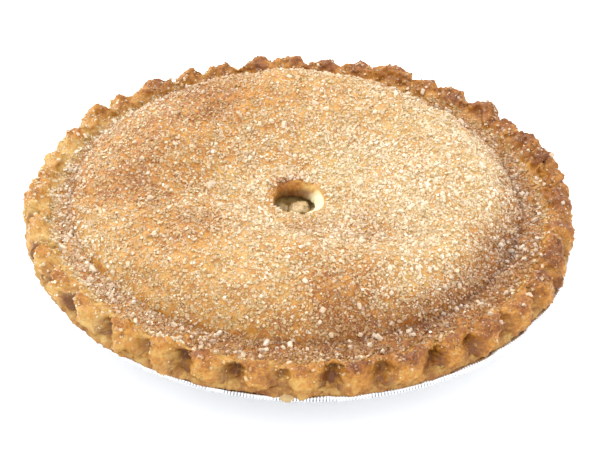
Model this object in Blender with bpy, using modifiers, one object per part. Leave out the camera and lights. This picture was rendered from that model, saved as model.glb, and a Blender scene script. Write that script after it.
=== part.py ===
"""A whole double-crust fruit pie in its foil tin, as four closed solids.

Frame: metres, +Z up, origin at the centre of the tin's flat underside.
Lengths below are millimetres and angles degrees, counted anticlockwise from +X.
"""

import math

import bmesh
import bpy
from mathutils import Vector

MM = 0.001
GAP = 0.3  # clearance between touching pieces

# Foil tin
TIN_RIM_RADIUS = 122.0
TIN_BASE_RADIUS = 88.0
TIN_WALL_TOP_RADIUS = 110.0
TIN_HEIGHT = 25.0  # top of the flange
FOIL_THICKNESS = 0.4
HEM_DROP = 1.7  # how far the rolled rim hangs under the flange
TIN_STEPS = 60

# Bottom crust: lines the tin and lies on its flange as a flat ledge
CRUST_THICKNESS = 4.0
LEDGE_THICKNESS = 2.7
LEDGE_RADIUS = 122.3
LEDGE_TOP = TIN_HEIGHT + FOIL_THICKNESS + GAP + LEDGE_THICKNESS

# The dough was laid a little off the tin's centre, towards this side
DRIFT = 2.2
DRIFT_ANGLE = 160.0
DRIFT_START_RADIUS = 95.0
DRIFT_FULL_RADIUS = 110.0

# Crimped edge of the top crust: an upright ribbon pressed into flutes
FLUTES = 39
FLUTE_PHASE = -5.5
# How far the pinches run ahead or behind, once and twice round the edge
FLUTE_STRETCH = 5.4
FLUTE_STRETCH_ANGLE = -103.0
FLUTE_UNEVEN = 1.2
FLUTE_UNEVEN_ANGLE = -144.0
FLUTE_SLANT = 0.10  # how far the foot of a flute trails its top, in flutes
SAMPLES_PER_FLUTE = 6
CRIMP_HEIGHT = 37.4
TIP_RADIUS = 122.0
FLUTE_DEPTH = 6.8  # how far a tip stands out of the notch beside it
FLUTE_DEPTH_SWING = 2.0  # deeper on the side named next, shallower opposite
FLUTE_DEEP_ANGLE = -60.0

# Lid: a sunken centre round the vent, a lumpy crown, a steep shoulder and a
# channel, which is widest on the side that the lid leans away from
LID_THICKNESS = 4.0
LID_FOOT_RADIUS = 100.0
LID_LEAN = 5.0
LID_LEAN_ANGLE = 128.0
SHOULDER_WIDTH = 33.0  # width over which the crown rounds down to the foot
SHOULDER_SQUARENESS = 2.6
SHOULDER_STEEP = 0.55  # towards LID_LEAN_ANGLE the shoulder falls steeply,
SHOULDER_SOFT = 0.90  # and opposite it runs out gently
UNDERSIDE_INSET = 2.5
CHANNEL_HEIGHT = LEDGE_TOP + GAP + 3.6
CROWN_RADIUS = 62.0
CROWN_HEIGHT = 47.0
VENT_HEIGHT = 37.4
VENT_LIP_RADIUS = 12.0
VENT_THROAT_RADIUS = 9.8
VENT_OFFSET = Vector((-2.2, -1.0))
VENT_BLEND_RADIUS = 58.0  # rings inside this are centred on the vent

# Lumps and dips of the lid: (angle, radius, height, width)
LUMPS = (
    (92.0, 86.0, 4.6, 32.0),
    (160.0, 84.0, 2.2, 28.0),
    (-112.0, 70.0, 1.4, 22.0),
    (6.0, 74.0, 1.6, 22.0),
    (186.0, 42.0, -2.6, 17.0),
    (-38.0, 44.0, -2.8, 18.0),
    (125.0, 52.0, -1.6, 16.0),
)

# Filling: cooked fruit up to the lid, sunken under the vent
FILLING_VENT_HEIGHT = 28.5
FILLING_DIP_RADIUS = 24.0

COARSE_SAMPLES = FLUTES * 2
UNDERSIDE_SHARES = (0.34, 0.58, 0.76, 0.86, 0.92, 0.96, 1.01)


def smoothstep(start, end, value):
    share = min(max((value - start) / (end - start), 0.0), 1.0)
    return share * share * (3.0 - 2.0 * share)


def mix(first, second, share):
    return first + (second - first) * share


def clear_scene():
    for item in list(bpy.data.objects):
        bpy.data.objects.remove(item, do_unlink=True)


def material(name, colour, roughness, metallic=0.0):
    finish = bpy.data.materials.new(name)
    finish.use_nodes = True
    finish.diffuse_color = (*colour, 1.0)
    shader = finish.node_tree.nodes["Principled BSDF"]
    shader.inputs["Base Color"].default_value = (*colour, 1.0)
    shader.inputs["Roughness"].default_value = roughness
    shader.inputs["Metallic"].default_value = metallic
    return finish


def add_piece(name, mesh, finish, collection):
    piece = bpy.data.objects.new(name, mesh)
    mesh.materials.append(finish)
    collection.objects.link(piece)
    return piece


# ---------------------------------------------------------------- placing

def flute_angle(turn):
    """Angle of a place on the edge, counted in flutes from the first tip."""
    even = math.radians(FLUTE_PHASE) + math.tau * turn / FLUTES
    lag = FLUTE_STRETCH * math.sin(even - math.radians(FLUTE_STRETCH_ANGLE))
    lag += FLUTE_UNEVEN * math.sin(2.0 * even - math.radians(FLUTE_UNEVEN_ANGLE))
    return even + math.radians(lag)


def place(radius, angle, height, drift=DRIFT):
    """A point of the dough, in metres, from millimetres round the axis."""
    centre = VENT_OFFSET * (1.0 - smoothstep(VENT_LIP_RADIUS, VENT_BLEND_RADIUS, radius))
    share = smoothstep(DRIFT_START_RADIUS, DRIFT_FULL_RADIUS, radius)
    reach = radius + drift * share * math.cos(angle - math.radians(DRIFT_ANGLE))
    x = reach * math.cos(angle) + centre.x
    y = reach * math.sin(angle) + centre.y
    return Vector((x, y, height)) * MM


# ------------------------------------------------------------ lid surface

def lump_height(radius, angle):
    total = 0.0
    for lump_angle, lump_radius, height, width in LUMPS:
        turn = angle - math.radians(lump_angle)
        away_squared = (radius ** 2 + lump_radius ** 2
                        - 2.0 * radius * lump_radius * math.cos(turn))
        total += height * math.exp(-away_squared / (2.0 * width ** 2))
    return total


def lid_foot(angle):
    """Radius at which the lid's shoulder meets the channel."""
    return LID_FOOT_RADIUS + LID_LEAN * math.cos(angle - math.radians(LID_LEAN_ANGLE))


def lid_height(radius, angle):
    """Top of the lid between the vent's lip and the channel."""
    crown = mix(VENT_HEIGHT, CROWN_HEIGHT,
                smoothstep(VENT_LIP_RADIUS - 4.0, CROWN_RADIUS, radius))
    calm = smoothstep(VENT_LIP_RADIUS, 2.5 * VENT_LIP_RADIUS, radius)
    crown += calm * lump_height(radius, angle)
    inside = lid_foot(angle) - radius
    share = min(max(1.0 - inside / SHOULDER_WIDTH, 0.0), 1.0)
    lean = 0.5 + 0.5 * math.cos(angle - math.radians(LID_LEAN_ANGLE))
    softness = mix(SHOULDER_SOFT, SHOULDER_STEEP, lean)
    return mix(CHANNEL_HEIGHT, crown, (1.0 - share ** SHOULDER_SQUARENESS) ** softness)


def lid_underside(radius, angle):
    above = lid_height(radius + UNDERSIDE_INSET, angle)
    return max(above - LID_THICKNESS, LEDGE_TOP + GAP)


# ------------------------------------------------------------- mesh rings

def ring(samples, point_at):
    """Points of one ring; point_at takes the angle and the place in flutes."""
    points = []
    for index in range(samples):
        turn = FLUTES * index / samples
        points.append(point_at(flute_angle(turn), turn))
    return points


def level_ring(radius, height, samples=COARSE_SAMPLES, drift=DRIFT):
    return ring(samples, lambda angle, turn: place(radius, angle, height, drift))


def surface_ring(radius, surface, samples=COARSE_SAMPLES, drift=DRIFT):
    def point_at(angle, turn):
        return place(radius, angle, surface(radius, angle), drift)
    return ring(samples, point_at)


def lid_ring(share, surface, samples=COARSE_SAMPLES, limit=TIP_RADIUS, drift=DRIFT):
    """A ring at a share of the way from the axis to the lid's foot."""
    def point_at(angle, turn):
        radius = min(share * lid_foot(angle), limit)
        return place(radius, angle, surface(radius, angle), drift)
    return ring(samples, point_at)


def crimp_ring(inset, reach, height, slant=0.0):
    """A ring of the crimped edge, at an inset from the tips.

    reach is the share of a flute's depth that the ring follows.
    """
    def point_at(angle, turn):
        wave = math.cos(math.tau * (turn + slant * math.sin(angle + math.pi / 2)))
        deep = math.cos(angle - math.radians(FLUTE_DEEP_ANGLE))
        depth = (FLUTE_DEPTH + FLUTE_DEPTH_SWING * deep) * reach
        return place(TIP_RADIUS - inset - depth * (0.5 - 0.5 * wave), angle, height)
    return ring(FLUTES * SAMPLES_PER_FLUTE, point_at)


def bridge(bm, first, second):
    """Faces between two rings, one of which may have several times the points."""
    fine, coarse = (first, second) if len(first) >= len(second) else (second, first)
    ratio = len(fine) // len(coarse)
    turning = ratio // 2
    for index, corner in enumerate(coarse):
        following = coarse[(index + 1) % len(coarse)]
        span = [fine[(index * ratio + step) % len(fine)] for step in range(ratio + 1)]
        if ratio == 1:
            bm.faces.new((span[0], span[1], following, corner))
            continue
        for step in range(turning):
            bm.faces.new((span[step], span[step + 1], corner))
        bm.faces.new((span[turning], following, corner))
        for step in range(turning, ratio):
            bm.faces.new((span[step], span[step + 1], following))


def loft(name, rings, finish, collection, ends):
    """A closed solid through rings: ends is 'loop' or 'poles'."""
    bm = bmesh.new()
    loops = [[bm.verts.new(point) for point in points] for points in rings]
    for first, second in zip(loops, loops[1:]):
        bridge(bm, first, second)
    if ends == "loop":
        bridge(bm, loops[-1], loops[0])
    else:
        for rim in (loops[0], loops[-1]):
            middle = sum((vertex.co for vertex in rim), Vector()) / len(rim)
            pole = bm.verts.new(middle)
            for index, vertex in enumerate(rim):
                bm.faces.new((vertex, rim[(index + 1) % len(rim)], pole))
    bmesh.ops.recalc_face_normals(bm, faces=bm.faces)
    mesh = bpy.data.meshes.new(name)
    bm.to_mesh(mesh)
    bm.free()
    mesh.shade_smooth()
    mesh.set_sharp_from_angle(angle=math.radians(50.0))
    return add_piece(name, mesh, finish, collection)


def turned(name, profile, finish, collection):
    """A profile of (radius, height) turned round the axis."""
    mesh = bpy.data.meshes.new(name)
    points = [(radius * MM, 0.0, height * MM) for radius, height in profile]
    edges = [(index, index + 1) for index in range(len(points) - 1)]
    mesh.from_pydata(points, edges, [])
    piece = add_piece(name, mesh, finish, collection)
    screw = piece.modifiers.new("turn", "SCREW")
    screw.axis = "Z"
    screw.steps = TIN_STEPS
    screw.render_steps = TIN_STEPS
    screw.use_merge_vertices = True
    screw.merge_threshold = 1e-5
    screw.use_normal_calculate = True
    return piece


# ----------------------------------------------------------------- pieces

def foil_tin(finish, collection):
    """Pressed foil: flat base, sloping wall, flange and a rim rolled under."""
    rim = TIN_RIM_RADIUS - FOIL_THICKNESS
    top = TIN_HEIGHT
    profile = (
        (rim - 1.6, top - HEM_DROP),
        (rim - 0.2, top - HEM_DROP + 0.3),
        (rim, top - 0.9),
        (rim - 0.7, top + 0.2),
        (TIN_WALL_TOP_RADIUS + 1.4, top),
        (TIN_WALL_TOP_RADIUS, top - 1.8),
        (TIN_BASE_RADIUS, 0.8),
        (TIN_BASE_RADIUS - 2.0, 0.0),
        (0.0, 0.0),
    )
    piece = turned("foil_tin", profile, finish, collection)
    wall = piece.modifiers.new("thickness", "SOLIDIFY")
    wall.thickness = FOIL_THICKNESS * MM
    wall.offset = 1.0
    return piece


def bottom_crust(finish, collection):
    """Dough pressed into the tin, with its edge lying on the flange."""
    clear = FOIL_THICKNESS + GAP
    side = clear + 0.3  # the wall slopes, so its clearance is a little wider
    flange = TIN_HEIGHT + clear
    wall_top = TIN_WALL_TOP_RADIUS
    base = TIN_BASE_RADIUS - side
    # (radius, height, drift): only the ledge's edge is off centre
    steps = (
        (base - 1.6, clear, 0.0),
        (base, clear + 0.7, 0.0),
        (wall_top - side, TIN_HEIGHT - 1.6, 0.0),
        (wall_top + 0.3, flange, 0.0),
        (LEDGE_RADIUS - 0.9, flange, DRIFT),
        (LEDGE_RADIUS, flange + 1.2, DRIFT),
        (LEDGE_RADIUS - 0.6, LEDGE_TOP, DRIFT),
        (wall_top - CRUST_THICKNESS, LEDGE_TOP, 0.0),
        (wall_top - CRUST_THICKNESS - 1.6, LEDGE_TOP - 2.4, 0.0),
        (base - CRUST_THICKNESS + 1.2, clear + CRUST_THICKNESS, 0.0),
    )
    rings = [level_ring(radius, height, drift=drift) for radius, height, drift in steps]
    return loft("bottom_crust", rings, finish, collection, "poles")


def top_crust(finish, collection):
    """Lid with a round vent, running out into the crimped edge."""
    seat = LEDGE_TOP + GAP
    crest = CRIMP_HEIGHT
    edge = [
        crimp_ring(2.4, 0.95, seat, FLUTE_SLANT),
        crimp_ring(0.6, 1.10, seat + 3.6, 0.5 * FLUTE_SLANT),
        crimp_ring(0.0, 1.00, crest - 1.2),
        crimp_ring(2.2, 0.95, crest),
        crimp_ring(6.2, 0.80, crest - 1.0),
        crimp_ring(11.4, 0.45, CHANNEL_HEIGHT + 0.6),
    ]
    shares = (1.0, 0.99, 0.97, 0.94, 0.90, 0.84, 0.76, 0.64, 0.49, 0.33)
    lid = [lid_ring(share, lid_height) for share in shares]
    lip = VENT_LIP_RADIUS
    throat = VENT_THROAT_RADIUS
    vent = [
        surface_ring(lip + 5.0, lid_height, FLUTES),
        level_ring(lip + 1.0, VENT_HEIGHT + 0.5, FLUTES),
        level_ring(lip - 1.0, VENT_HEIGHT - 0.4, FLUTES),
        level_ring(throat, VENT_HEIGHT - 2.0, FLUTES),
        level_ring(throat, VENT_HEIGHT - LID_THICKNESS, FLUTES),
    ]
    under = [lid_ring(share, lid_underside, FLUTES) for share in UNDERSIDE_SHARES]
    return loft("top_crust", edge + lid + vent + under, finish, collection, "loop")


def apple_filling(finish, collection):
    """Cooked apple filling the tin, sunken where the vent opens over it."""
    floor = FOIL_THICKNESS + 2.0 * GAP + CRUST_THICKNESS
    inner_base = TIN_BASE_RADIUS - CRUST_THICKNESS - 3.6
    inner_top = TIN_WALL_TOP_RADIUS - CRUST_THICKNESS - 2.6

    def below_lid(radius, angle):
        dip = 1.0 - smoothstep(VENT_THROAT_RADIUS - 3.0, FILLING_DIP_RADIUS, radius)
        full = lid_underside(radius, angle) - GAP - 0.2
        return mix(full, FILLING_VENT_HEIGHT, dip)

    rings = [
        level_ring(inner_base, floor, FLUTES, 0.0),
        level_ring(inner_top, LEDGE_TOP - 3.0, FLUTES, 0.0),
        level_ring(inner_top, LEDGE_TOP - 0.2, FLUTES, 0.0),
    ]
    for share in reversed(UNDERSIDE_SHARES):
        rings.append(lid_ring(share, below_lid, FLUTES, inner_top - 0.5, 0.0))
    for radius in (22.0, VENT_THROAT_RADIUS, VENT_THROAT_RADIUS / 2.0):
        rings.append(surface_ring(radius, below_lid, FLUTES, drift=0.0))
    return loft("apple_filling", rings, finish, collection, "poles")


def main():
    clear_scene()
    collection = bpy.data.collections.new("fruit_pie")
    bpy.context.scene.collection.children.link(collection)
    foil = material("bare_foil", (0.78, 0.79, 0.80), 0.30, 1.0)
    baked = material("baked_top", (0.66, 0.43, 0.20), 0.62)
    pale = material("pale_pastry", (0.60, 0.38, 0.16), 0.68)
    fruit = material("cooked_fruit", (0.42, 0.28, 0.11), 0.40)
    foil_tin(foil, collection)
    bottom_crust(pale, collection)
    apple_filling(fruit, collection)
    top_crust(baked, collection)


main()
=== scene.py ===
"""Looks of a whole sugared fruit pie in its foil tin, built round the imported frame.

Lengths in the named values are millimetres and angles degrees, counted anticlockwise from
the right: 90 is the back, 180 the left and -90 the front. Meshes are in metres, +Z up, with
the middle of the tin's underside at the origin.
"""

import math

import bpy
import numpy as np
from mathutils import Matrix, Vector


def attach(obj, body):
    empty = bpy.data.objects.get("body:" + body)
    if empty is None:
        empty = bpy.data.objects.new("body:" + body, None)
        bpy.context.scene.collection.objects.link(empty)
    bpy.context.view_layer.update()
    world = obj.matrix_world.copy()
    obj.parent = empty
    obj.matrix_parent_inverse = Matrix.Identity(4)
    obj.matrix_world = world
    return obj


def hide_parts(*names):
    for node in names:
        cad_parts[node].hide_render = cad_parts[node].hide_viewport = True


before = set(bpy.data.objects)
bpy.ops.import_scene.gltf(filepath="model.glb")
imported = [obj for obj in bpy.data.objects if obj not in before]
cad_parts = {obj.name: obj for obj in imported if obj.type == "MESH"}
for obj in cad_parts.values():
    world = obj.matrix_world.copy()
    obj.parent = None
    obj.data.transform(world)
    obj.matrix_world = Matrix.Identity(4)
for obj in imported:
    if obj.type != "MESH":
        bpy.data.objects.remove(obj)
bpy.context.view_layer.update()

MM = 0.001
TAU = math.tau

# ---------- sizes of the pie
TIN_RIM_RADIUS = 122.0
TIN_BASE_RADIUS = 88.0
TIN_WALL_TOP_RADIUS = 110.0
TIN_HEIGHT = 25.0
FOIL_THICKNESS = 0.4
HEM_DROP = 1.7
HEM_RIBS = 580
POINTS_PER_RIB = 4
RIB_TURN = 0.6  # radians, so that each rib gets a flat top and a flat groove
PAN_BULGE = 0.7  # the pan isn't quite round
PAN_BULGE_ANGLE = 222.0
WALL_CREASES = 110
CREASE_WIDTHS = (0.006, 0.016)  # radians
CREASE_DEPTHS = (0.15, 0.55)
BASE_RINGS = (24.0, 58.0)  # radii where a raised ring of the base begins
GAP = 0.3
CRUST_THICKNESS = 4.0
LEDGE_THICKNESS = 2.7
LEDGE_RADIUS = 122.3
LEDGE_TOP = TIN_HEIGHT + FOIL_THICKNESS + GAP + LEDGE_THICKNESS

DRIFT = 2.2
DRIFT_ANGLE = 160.0
DRIFT_START_RADIUS = 95.0
DRIFT_FULL_RADIUS = 110.0

FLUTES = 39
FLUTE_PHASE = -5.5
FLUTE_STRETCH = 5.4
FLUTE_STRETCH_ANGLE = -103.0
FLUTE_UNEVEN = 1.2
FLUTE_UNEVEN_ANGLE = -144.0
CRIMP_HEIGHT = 37.4
TIP_RADIUS = 122.0
FLUTE_DEPTH = 6.8
FLUTE_DEPTH_SWING = 2.0
FLUTE_DEEP_ANGLE = -60.0
CRIMP_SKEW = 0.30
CRIMP_TWIST = 0.28  # how far a lobe leans along the edge on its way down
CRIMP_SLOPE = 0.5  # one side of a lobe is steeper than the other
TIP_BREADTH = 1.9
NOTCH_DROP = 3.4  # at the front; the notches are shallower at the back
NOTCH_DROP_BACK = 1.0
BACK_RISE = 2.2
EDGE_FOOT_RADIUS = 107.0  # here the channel turns up into the crimped edge
# How each flute differs from the next: spread, lowest and highest
TIP_SWING = (0.8, -1.4, 1.0)
HEIGHT_SWING = (0.95, -1.5, 1.2)
DEPTH_SWING = (0.24, -0.45, 0.35)
LEAN_SWING = (0.09, -0.15, 0.15)

LID_THICKNESS = 4.0
THINNEST_LID = 2.4  # where a dip brings the top down towards the underside
LID_RINGS = 65
UNDERSIDE_SHARES = (0.2, 0.3, 0.4, 0.5, 0.6, 0.7, 0.8, 0.88, 0.95, 1.01)
LID_FOOT_RADIUS = 100.0
LID_LEAN = 5.0
LID_LEAN_ANGLE = 128.0
SHOULDER_WIDTH = 33.0
SHOULDER_SQUARENESS = 2.6
SHOULDER_STEEP = 0.55
SHOULDER_SOFT = 0.90
UNDERSIDE_INSET = 2.5
CHANNEL_HEIGHT = LEDGE_TOP + GAP + 3.6
CROWN_RADIUS = 62.0
CROWN_HEIGHT = 47.0
VENT_HEIGHT = 37.4
VENT_LIP_RADIUS = 12.0
VENT_THROAT_RADIUS = 9.8
VENT_CENTRE = (-2.2, -1.0)
VENT_BLEND_RADIUS = 58.0

# Lumps and dips of the lid: (angle, radius, height, width)
LUMPS = (
    (92.0, 86.0, 4.2, 32.0),
    (160.0, 84.0, 1.9, 28.0),
    (-112.0, 70.0, 1.4, 22.0),
    (6.0, 74.0, 1.6, 22.0),
    (186.0, 42.0, -2.6, 17.0),
    (-38.0, 44.0, -2.8, 18.0),
    (125.0, 52.0, -1.6, 16.0),
)
# Smaller rises where pieces of fruit press up under the dough
FRUIT_RISES = (
    (-95.0, 50.0, 3.0, 11.0),
    (-62.0, 62.0, 2.0, 10.0),
    (-128.0, 58.0, 2.2, 12.0),
    (-25.0, 76.0, 2.0, 9.0),
    (14.0, 52.0, 1.3, 11.0),
    (48.0, 66.0, 1.6, 13.0),
    (78.0, 44.0, 1.4, 10.0),
    (112.0, 70.0, 1.2, 9.0),
    (150.0, 70.0, 1.6, 10.0),
    (-165.0, 68.0, 1.6, 10.0),
    (-150.0, 34.0, 1.0, 8.0),
    (-75.0, 84.0, 1.3, 8.0),
    (-108.0, 80.0, 1.2, 7.0),
    (-41.0, 52.0, -3.0, 11.0),
    (-30.0, 66.0, -2.0, 9.0),
    (-84.0, 66.0, -1.0, 6.0),
    (182.0, 54.0, -3.0, 11.0),
    (190.0, 32.0, -1.6, 9.0),
    (30.0, 34.0, -1.2, 9.0),
    (62.0, 84.0, -1.0, 8.0),
    (-140.0, 76.0, -1.0, 7.0),
)

# Browner (+) and paler (-) patches of the lid: (angle, radius, amount, width)
TONE_PATCHES = (
    (125.0, 80.0, 0.25, 13.0),
    (60.0, 95.0, 0.14, 10.0),
    (183.0, 76.0, 0.20, 11.0),
    (218.0, 55.0, 0.16, 9.0),
    (266.0, 27.0, 0.32, 9.0),
    (62.0, 25.0, -0.10, 9.0),
    (282.0, 78.0, 0.28, 11.0),
    (311.0, 41.0, 0.30, 10.0),
    (335.0, 25.0, 0.12, 9.0),
    (338.0, 88.0, 0.20, 9.0),
    (252.0, 66.0, -0.16, 13.0),
    (165.0, 25.0, -0.16, 9.0),
    (235.0, 25.0, -0.14, 8.0),
    (202.0, 97.0, -0.10, 10.0),
)

HIGHEST_DOUGH = 50.2
SINK_SHARE = 0.75  # how much of what stands above the highest dough sinks back
CRUST_SAMPLES = FLUTES * 18
LEDGE_SAMPLES = FLUTES * 16
RNG_SEED = 20

# Unevenness pressed into a surface: pattern, size of its grains, height, layers of detail
DOUGH_RELIEF = (("dough_swell", 15.0, 3.6, 1), ("dough_knots", 5.5, 2.2, 2))
CRIMP_RELIEF = (("crimp_crumple", 4.2, 4.6, 2), ("crimp_flakes", 2.0, 2.0, 2))
GRAIN_RELIEF = (("dough_grain", 1.6, 0.8, 1),)
LEDGE_RELIEF = (("pastry_swell", 6.0, 2.6, 2), ("pastry_grain", 1.9, 1.3, 1))
FRUIT_RELIEF = (("apple_fibre", 2.4, 1.1, 2),)
JUICE_RELIEF = (("bead_swell", 2.5, 0.5, 1),)

# Pieces of fruit under the vent: x, y, top, length, width, thickness, turn, tilt
CHUNKS = (
    (-1.8, 1.6, 31.6, 9.0, 7.5, 6.0, 12.0, 10.0),
    (6.6, 5.0, 29.6, 9.0, 7.0, 6.0, 70.0, -14.0),
    (-9.2, 4.4, 29.2, 9.0, 7.0, 6.0, -50.0, 12.0),
    (0.0, 10.8, 28.8, 12.0, 7.0, 6.0, -8.0, -10.0),
    (-3.0, -6.0, 30.4, 9.0, 6.5, 6.0, 25.0, 6.0),
    (5.0, -2.6, 30.6, 7.0, 6.0, 6.0, -35.0, 12.0),
    (-9.5, -2.8, 29.6, 7.5, 6.5, 6.0, 80.0, -8.0),
    (-8.0, 11.6, 28.4, 9.0, 7.0, 6.0, 40.0, 8.0),
    (11.5, -0.5, 28.4, 8.0, 6.0, 5.0, 10.0, 8.0),
)
JUICE_PLACE = (-4.6, -121.3, 24.9)
JUICE_HALF_SIZE = (3.1, 1.5, 2.0)

# Sugar: name, crystal, count, sizes, stretch, lift, whiteness, seed; then how it lies:
# seed, thickness on the right side, in the channel and on the edge, patchiness
SUGARS = (
    ("coarse_sugar", "coarse", 7500, (0.6, 1.5), 1.6, 0.06, 0.27, 5, (31, 0.5, 1.1, 0.16, 0.8)),
    ("clear_sugar", "coarse", 15000, (0.6, 1.5), 1.6, 0.02, 0.22, 6, (47, 0.2, 1.1, 0.16, 0.5)),
    ("fine_sugar", "fine", 22000, (0.4, 0.85), 1.4, 0.08, 0.24, 7, (63, 0.9, 1.4, 0.28, 0.6)),
    ("large_sugar", "large", 320, (1.6, 2.6), 1.8, 0.16, 1.00, 8, (79, 0.5, 5.0, 0.4, 0.95)),
)
CRYSTAL_SHAPES = 4  # of each kind of sugar
PATCH_WAVES = 14
PATCH_SOFTNESS = 3.7

# The floor and the lamp, in metres
FLOOR_SIZE = 6.0
FLOOR_DROP = 0.0002
WORLD_STRENGTH = 1.85
LAMP_PLACE = (-0.70, 0.62, 0.95)
LAMP_SIZE = 0.60
LAMP_POWER = 8.0
LAMP_COLOUR = (1.0, 0.98, 0.95)

CAMERA_ELEVATION = 36.0
CAMERA_DISTANCE = 800.0
CAMERA_ROLL = 1.65
CAMERA_TARGET = Vector((-1.4, 0.0, 21.75))
CAMERA_LENS = 105.9


# ---------- small helpers
def smoothstep(start, end, value):
    share = np.clip((value - start) / (end - start), 0.0, 1.0)
    return share * share * (3.0 - 2.0 * share)


def mix(first, second, share):
    return first + (second - first) * share


def facing(angle, towards, power=1.0):
    """1 on the side of the pie that lies in this direction, 0 on the far side."""
    return (0.5 + 0.5 * np.cos(angle - math.radians(towards))) ** power


def deselect():
    if bpy.context.object and bpy.context.object.mode != "OBJECT":
        bpy.ops.object.mode_set(mode="OBJECT")
    bpy.ops.object.select_all(action="DESELECT")


def pick(piece):
    deselect()
    piece.select_set(True)
    bpy.context.view_layer.objects.active = piece


def apply_modifiers(piece):
    pick(piece)
    for modifier in list(piece.modifiers):
        bpy.ops.object.modifier_apply(modifier=modifier.name)


def coordinates(piece):
    """Vertex positions in millimetres."""
    flat = np.empty(len(piece.data.vertices) * 3)
    piece.data.vertices.foreach_get("co", flat)
    return flat.reshape(-1, 3) / MM


def set_coordinates(piece, points):
    piece.data.vertices.foreach_set("co", (points * MM).ravel())
    piece.data.update()


def vertex_normals(piece):
    flat = np.empty(len(piece.data.vertices) * 3)
    piece.data.vertices.foreach_get("normal", flat)
    return flat.reshape(-1, 3)


def paint(piece, name, *measures):
    """Up to three measures of the surface, kept for the materials as one attribute."""
    layer = piece.data.attributes.new(name, "FLOAT_COLOR", "POINT")
    values = np.zeros((len(piece.data.vertices), 4))
    values[:, 3] = 1.0
    for channel, measure in enumerate(measures):
        values[:, channel] = measure
    layer.data.foreach_set("color", np.clip(values, 0.0, 1.0).ravel())


def relief(piece, patterns):
    """Pushes the surface in and out by cloudy patterns, one after the other."""
    for name, grain, height, depth in patterns:
        pattern = bpy.data.textures.new(name, type="CLOUDS")
        pattern.noise_scale = grain * MM
        pattern.noise_depth = depth
        modifier = piece.modifiers.new(name, "DISPLACE")
        modifier.texture = pattern
        modifier.texture_coords = "LOCAL"
        modifier.mid_level = 0.5
        modifier.strength = height * MM
        apply_modifiers(piece)


def flute_angle(turn):
    """Where round the pie a place counted in flutes lies, in radians."""
    even = math.radians(FLUTE_PHASE) + TAU * turn / FLUTES
    lag = FLUTE_STRETCH * np.sin(even - math.radians(FLUTE_STRETCH_ANGLE))
    lag = lag + FLUTE_UNEVEN * np.sin(2.0 * even - math.radians(FLUTE_UNEVEN_ANGLE))
    return even + np.radians(lag)


def dough_drift(radius, angle):
    """The crimped edge sits a little to one side of the tin."""
    share = smoothstep(DRIFT_START_RADIUS, DRIFT_FULL_RADIUS, radius)
    return DRIFT * share * np.cos(angle - math.radians(DRIFT_ANGLE))


def place(radius, angle, height):
    blend = 1.0 - smoothstep(VENT_LIP_RADIUS, VENT_BLEND_RADIUS, radius)
    reach = radius + dough_drift(radius, angle)
    x = reach * np.cos(angle) + VENT_CENTRE[0] * blend
    y = reach * np.sin(angle) + VENT_CENTRE[1] * blend
    return np.stack([x, y, height], axis=-1)


def rolled_sheet(name, rings):
    """A flat grid rolled round the axis into closed rings of points, seams welded."""
    along, around = rings.shape[:2]
    deselect()
    bpy.ops.mesh.primitive_grid_add(x_subdivisions=around, y_subdivisions=along - 1, size=1.0)
    piece = bpy.context.object
    piece.name = piece.data.name = name
    flat = coordinates(piece) * MM
    column = np.rint((flat[:, 0] + 0.5) * around).astype(int) % around
    row = np.rint((flat[:, 1] + 0.5) * (along - 1)).astype(int)
    set_coordinates(piece, rings[row, column])
    bpy.ops.object.mode_set(mode="EDIT")
    bpy.ops.mesh.select_all(action="SELECT")
    bpy.ops.mesh.remove_doubles(threshold=1e-6)
    bpy.ops.mesh.normals_make_consistent(inside=False)
    bpy.ops.object.mode_set(mode="OBJECT")
    bpy.ops.object.shade_smooth()
    return piece


def through_rings(keys, steps):
    """Rings on a smooth curve through the key rings, with steps rings to each gap."""
    rings = []
    last = len(keys) - 1
    for index in range(last):
        before, start = keys[max(index - 1, 0)], keys[index]
        end, after = keys[index + 1], keys[min(index + 2, last)]
        for step in range(steps):
            t = step / steps
            rings.append(0.5 * (2.0 * start + (end - before) * t
                                + (2.0 * before - 5.0 * start + 4.0 * end - after) * t ** 2
                                + (3.0 * start - before - 3.0 * end + after) * t ** 3))
    rings.append(keys[-1])
    return rings


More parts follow.
